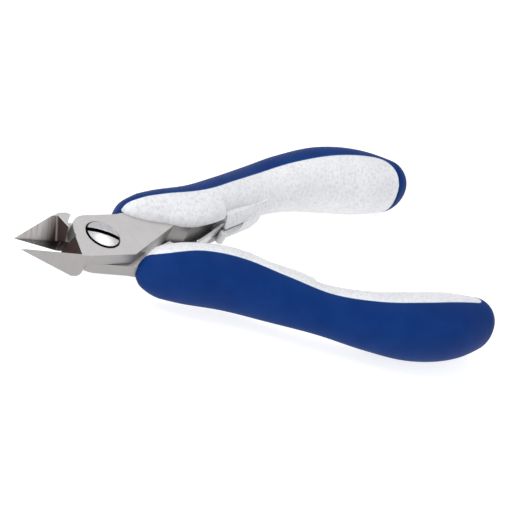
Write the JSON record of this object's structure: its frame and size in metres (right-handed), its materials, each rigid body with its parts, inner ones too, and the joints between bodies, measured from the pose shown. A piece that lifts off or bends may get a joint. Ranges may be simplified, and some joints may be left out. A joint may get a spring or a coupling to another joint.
{
  "type": "flush cutting pliers",
  "caption": "Small flush cutting pliers with bevelled steel jaws, a slotted pivot screw, two-colour S-curved grips and leaf return springs, held open.",
  "frame": {"origin": "on the pivot axis, at the flat underside of the head (the screw's end face)", "axes": "+X from the pivot towards the grips' rear ends, midway between them; +Y towards the grip that the lower-jaw half carries; +Z along the pivot axis towards the slotted screw head"},
  "size_m": [0.124, 0.067, 0.0162],
  "materials": {
    "jaw_steel": "satin ground steel",
    "screw_steel": "satin turned steel",
    "spring_steel": "rolled spring steel",
    "grip_blue": "matte moulded elastomer",
    "grip_white": "matte, faintly mottled"
  },
  "bodies": {
    "lower_jaw_side": {"lower_jaw_half": "jaw_steel", "upper_grip_shell": "grip_blue", "upper_grip_insert": "grip_white"},
    "upper_jaw_side": {"upper_jaw_half": "jaw_steel", "pivot_screw": "screw_steel", "lower_grip_shell": "grip_blue", "lower_grip_insert": "grip_white"},
    "upper_spring": {"upper_leaf_spring": "spring_steel"},
    "lower_spring": {"lower_leaf_spring": "spring_steel"}
  },
  "joints": [
    {"name": "pivot", "type": "hinge", "parent": "lower_jaw_side", "child": "upper_jaw_side", "pos_m": [0, 0, 0.003], "axis": [0, 0, 1], "range_deg": [0, 8.3], "stiffness_Nm_per_rad": 1, "springref_deg": -11.46},
    {"name": "upper_spring_flex", "type": "hinge", "parent": "lower_jaw_side", "child": "upper_spring", "pos_m": [0.03933, 0.00787, 0.003], "axis": [0, 0, 1], "range_deg": [-8.6, 0.1]},
    {"name": "lower_spring_flex", "type": "hinge", "parent": "upper_jaw_side", "child": "lower_spring", "pos_m": [0.03933, -0.00787, 0.003], "axis": [0, 0, 1], "range_deg": [-0.1, 8.6]}
  ],
  "couplings": [
    {"joint": "upper_spring_flex", "follows": "pivot", "ratio": -1},
    {"joint": "lower_spring_flex", "follows": "pivot", "ratio": 1}
  ]
}
